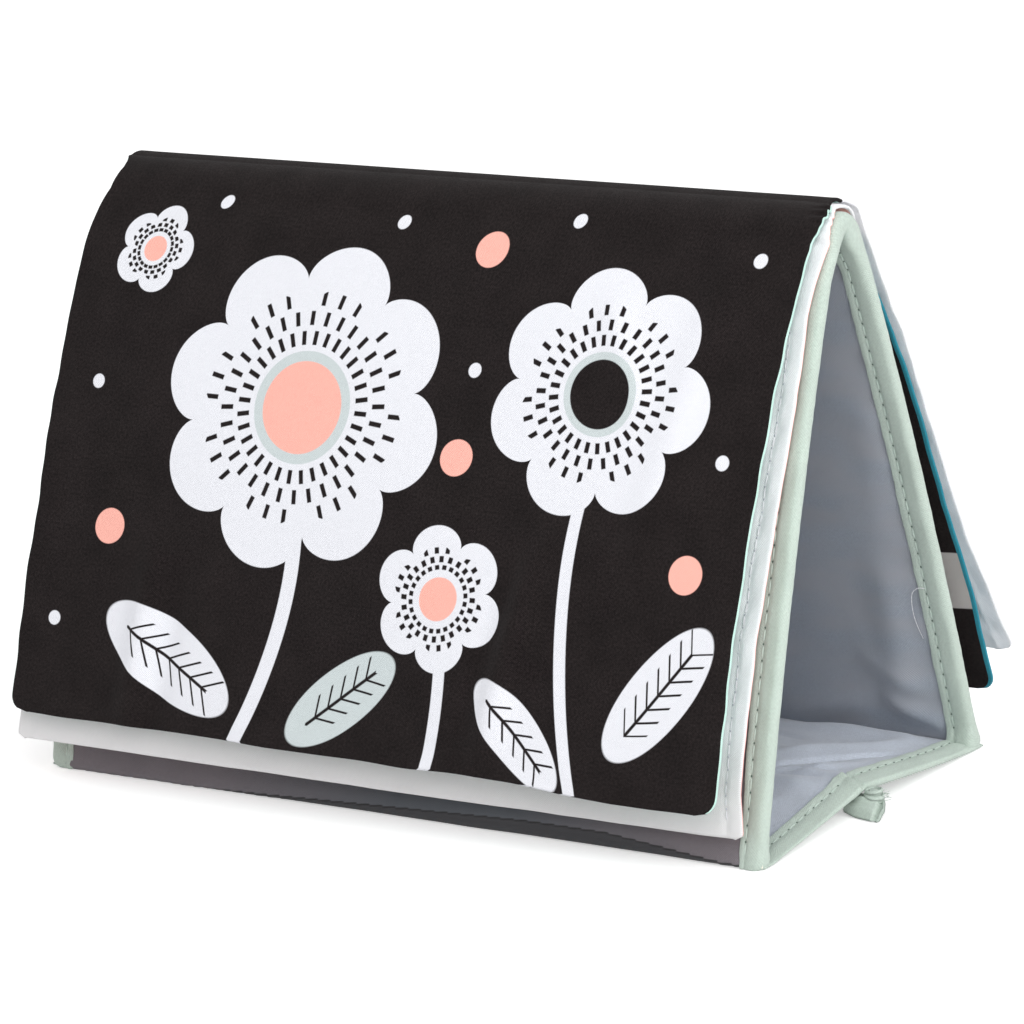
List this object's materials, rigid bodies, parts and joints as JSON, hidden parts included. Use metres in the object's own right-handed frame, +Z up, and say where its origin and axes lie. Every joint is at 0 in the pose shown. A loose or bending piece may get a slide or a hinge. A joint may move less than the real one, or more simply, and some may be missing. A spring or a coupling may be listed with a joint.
{
  "type": "cloth book",
  "caption": "Soft cloth book that stands as a tent: two padded covers on a soft ridge, a creased base between their feet, and printed leaves hanging over both covers.",
  "frame": {"origin": "on the floor under the middle of the whole book's box, leaves and ribbon tie included", "axes": "+X along the ridge towards the end with the ribbon tie, -Y towards the front cover, +Z up"},
  "size_m": [0.2666, 0.1676, 0.1768],
  "materials": {
    "cover_cloth": "woven polyester, matt with a slight sheen",
    "foam_sheet": "closed-cell foam sheet, hidden",
    "lining": "plain-weave nylon with a soft shine",
    "binding": "twill bias binding, matt, topstitched",
    "wadding": "polyester wadding, hidden",
    "page_cloth": "printed brushed polyester, matt",
    "ribbon": "twill ribbon, knotted"
  },
  "bodies": {
    "front_cover": {"front_cloth": "cover_cloth", "front_foam": "foam_sheet", "front_lining": "lining", "front_binding_left": "binding", "front_binding_right": "binding", "front_pages": "page_cloth", "base_cloth": "cover_cloth", "base_wadding": "wadding", "base_lining": "lining", "base_binding_left": "binding", "base_binding_right": "binding", "ribbon_tie": "ribbon"},
    "back_cover": {"back_cloth": "cover_cloth", "back_foam": "foam_sheet", "back_lining": "lining", "back_binding_left": "binding", "back_binding_right": "binding", "back_pages": "page_cloth"}
  },
  "joints": [
    {"name": "cover_hinge", "type": "hinge", "parent": "front_cover", "child": "back_cover", "pos_m": [-0.00378, -0.0058, 0.1645], "axis": [1, 0, 0], "range_deg": [-34, 0], "deforming": ["base_cloth", "base_wadding", "base_lining", "base_binding_left", "base_binding_right"]}
  ]
}
